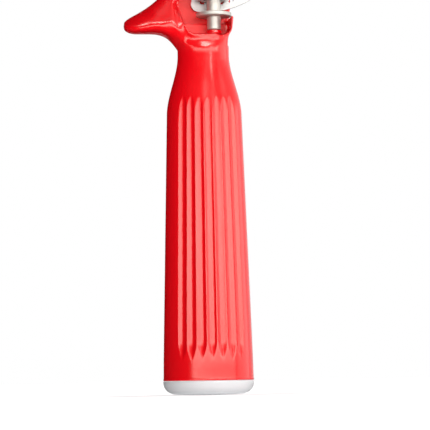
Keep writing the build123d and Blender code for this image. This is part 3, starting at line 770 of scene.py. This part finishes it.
# %% Spindle
POLE = 1e-3
ROD, JOURNAL, JOURNAL_LENGTH = 2.38, 1.5, 4.0
PEG, PEG_HEAD, PEG_HEAD_HEIGHT, BLADE_SEAT = 1.6, 2.8, 1.0, 1.7
low, high = span("spindle")[0][2], span("spindle")[1][2]
corners = [(0, low), (JOURNAL, low), (JOURNAL, low + JOURNAL_LENGTH), (ROD, low + JOURNAL_LENGTH),
           (ROD, high - BLADE_SEAT), (PEG, high - BLADE_SEAT), (PEG, high - PEG_HEAD_HEIGHT),
           (PEG_HEAD, high - PEG_HEAD_HEIGHT), (PEG, high), (0, high)]
radii = [POLE, 0.2, 0.05, 0.28, 0.2, 0.05, 0.05, 0.25, 0.4, POLE]
spindle_mesh = grid_mesh("spindle_rod", lathe(rounded(corners, radii), 96, axis_x))
spindle = add_piece("spindle_rod", spindle_mesh, "sweep", "bar_steel", "spindle")
paint(spindle, turned_steel)
print("spindle", round(float(high - low), 1), "mm long")

# %% Disc
DISC_BELOW, DISC_EDGE, DISC_BORE_EDGE = 0.35, 0.3, 0.02
disc_radius = (disc_high[0] - disc_low[0]) / 2
foot, top = disc_low[2] - DISC_BELOW, disc_high[2]
corners = [(ROD, foot), (disc_radius, foot), (disc_radius, top), (ROD, top)]
radii = [DISC_BORE_EDGE, DISC_EDGE, DISC_EDGE, DISC_BORE_EDGE]
disc_mesh = grid_mesh("disc", lathe(rounded(corners, radii), 128, axis_x), True)
disc = add_piece("disc", disc_mesh, "sweep", "bar_steel", "retaining_washer")
paint(disc, turned_steel)
print("disc", round(float(2 * disc_radius), 1), "mm across")

# %% Rivet
RIVET, RIVET_TAIL, TAIL_HEIGHT = 1.5, 2.5, 0.8
RIVET_HEAD, HEAD_HEIGHT, HEAD_CROWN = 3.5, 1.3, 1.6
low, high = span("tip_rivet")[0][2], span("tip_rivet")[1][2]
corners = [(0, low), (RIVET_TAIL, low), (RIVET_TAIL, low + TAIL_HEIGHT), (RIVET, low + TAIL_HEIGHT),
           (RIVET, high - HEAD_HEIGHT), (RIVET_HEAD, high - HEAD_HEIGHT), (RIVET_HEAD - 0.2, high - 0.6),
           (HEAD_CROWN, high), (0, high)]
radii = [POLE, 0.3, 0.2, 0.05, 0.05, 0.15, 0.5, 0.9, POLE]
rivet_mesh = grid_mesh("rivet", lathe(rounded(corners, radii), 64, axis_x))
rivet = add_piece("rivet", rivet_mesh, "body", "bar_steel", "tip_rivet")
paint(rivet, turned_steel)
print("rivet", round(float(high - low), 1), "mm long")

# %% [markdown]
# ## The bowl
# The bowl is spun from sheet: a half ball with a short straight lip and a rounded rim, turned about a line
# from its mouth to its back. One profile starts at the back inside, runs to the rim and round it, and
# returns outside.

# %% Bowl surface
BOWL_WALL = 0.9
low, high = span("bowl")
centre_z, outer = (low[2] + high[2]) / 2, (high[2] - low[2]) / 2
inner, mouth, round_off = outer - BOWL_WALL, low[1], BOWL_WALL / 2
quarter = np.linspace(0, np.pi / 2, 60)
rim = np.linspace(0, np.pi, 14)
inside = np.stack([inner * np.sin(quarter), inner * np.cos(quarter)], axis=1)
lip_radius = outer - round_off - round_off * np.cos(rim)
lip_height = mouth + round_off - round_off * np.sin(rim)
lip = np.stack([lip_radius, lip_height], axis=1)
outside = np.stack([outer * np.cos(quarter), outer * np.sin(quarter)], axis=1)
profile = np.concatenate([inside, lip, outside])
bowl = add_piece("bowl_shell", grid_mesh("bowl_shell", lathe(profile, 240, axis_x, centre_z, along_y=True)),
                 "body", "bowl_steel", "bowl")
paint(bowl, bowl_steel)
print("bowl", round(2 * outer, 1), "mm across")

# %% [markdown]
# ## The return spring
# The spring is wound from round wire. A leg stands in the pinion's hub, five and a quarter turns climb the
# spindle, and the last leg bends up into the head. The wire is a small circle that is carried along that
# line. The spring is not attached to a body, so it stays where it is wound.

# %% Line of the spring
hub_top, roof = span("pinion")[1][2], span("handle_bush")[0][2]
wire, coil, turns, bend = 0.45, 3.35, 5.25, 1.0
low_gap, high_gap, leg_length, leg_depth = 1.35, 2.6, 2.6, 1.0
coil_low, coil_high = hub_top + low_gap, roof - high_gap
angle = np.linspace(0, 2 * np.pi * turns, 420)
rise = (coil_high - coil_low) / angle[-1]
winding = np.stack([coil * np.cos(angle), coil * np.sin(angle), coil_low + rise * angle], axis=1)
swing = np.linspace(0, np.pi / 2, 10)[:, None]
up = np.array([0.0, 0.0, 1.0])
first, last = np.array([0.0, 1.0, 0.0]), np.array([-1.0, 0.0, 0.0])
start = winding[0] - first * bend - up * bend
low_bend = start + bend * (first * (1 - np.cos(swing)) + up * np.sin(swing))
low_leg = np.linspace(start * [1, 1, 0] + up * (hub_top - leg_depth), start, 8)[:-1]
leg_end = winding[-1] + last * leg_length
straight = np.linspace(winding[-1], leg_end, 10)[1:]
high_bend = leg_end + bend * (last * np.sin(swing) + up * (1 - np.cos(swing)))
high_leg = np.linspace(high_bend[-1], high_bend[-1] * [1, 1, 0] + up * (roof + leg_depth), 8)[1:]
line = np.concatenate([low_leg, low_bend[:-1], winding, straight, high_bend[1:], high_leg])
print("spring wire", round(float(np.linalg.norm(np.diff(line, axis=0), axis=1).sum()), 1), "mm long")

# %% Spring surface
radial = np.concatenate([np.zeros(len(low_leg) + len(low_bend) - 1), angle,
                         np.full(len(straight) + len(high_bend) - 1 + len(high_leg), angle[-1])])
outward = np.stack([np.cos(radial), np.sin(radial), 0 * radial], axis=1)
along = np.gradient(line, axis=0)
along /= np.linalg.norm(along, axis=1, keepdims=True)
outward -= along * (outward * along).sum(axis=1, keepdims=True)
outward /= np.linalg.norm(outward, axis=1, keepdims=True)
beside = np.cross(along, outward)
turn = np.linspace(0, 2 * np.pi, 20, endpoint=False)[None, :, None]
points = line[:, None] + wire * (np.cos(turn) * outward[:, None] + np.sin(turn) * beside[:, None])
points = np.concatenate([line[:1, None] + 0 * points[:1], points, line[-1:, None] + 0 * points[:1]])
points[..., 0] += axis_x
spring_mesh = grid_mesh("spring", points)
spring = bpy.data.objects.new("spring", spring_mesh)
scene.collection.objects.link(spring)
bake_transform(spring)
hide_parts("return_spring")
paint(spring, spring_steel)
print("spring has", len(spring_mesh.polygons), "faces")

# %% [markdown]
# ## Stamped and cut pieces
# The lever, the pinion, the screw, the ferrule and the blade keep the CAD shape. A press and a tumbling drum
# break their edges by a fraction of a millimetre, so each is copied and its sharp edges are rounded.

# %% Broken edges
def broken_edges(node, piece_name, body, slot, width):
    """A copy of a CAD node whose edges bent by more than 35 degrees are rounded over that width in mm."""
    work = copied(node)
    mesh = bpy.data.meshes.new(piece_name)
    work.to_mesh(mesh)
    work.free()
    mesh = evaluated(mesh, "BEVEL", width=width * MM, segments=2, limit_method="ANGLE",
                     angle_limit=math.radians(35))
    mesh.polygons.foreach_set("use_smooth", np.ones(len(mesh.polygons), dtype=bool))
    mesh = evaluated(mesh, "WEIGHTED_NORMAL", keep_sharp=False, weight=60)
    mesh.name = piece_name
    piece = add_piece(piece_name, mesh, body, slot, node)
    paint(piece, looks[slot])
    return piece


broken_edges("thumb_lever", "lever_plate", "lever", "sheet_steel", 0.2)
broken_edges("pinion", "pinion_gear", "sweep", "gear_steel", 0.12)
broken_edges("lever_pivot_screw", "pivot_screw", "body", "bar_steel", 0.25)
broken_edges("bowl_ferrule", "ferrule", "body", "sheet_steel", 0.2)
blade = broken_edges("scraper_blade", "blade", "sweep", "sheet_steel", 0.12)
print("blade has", len(blade.data.polygons), "faces")
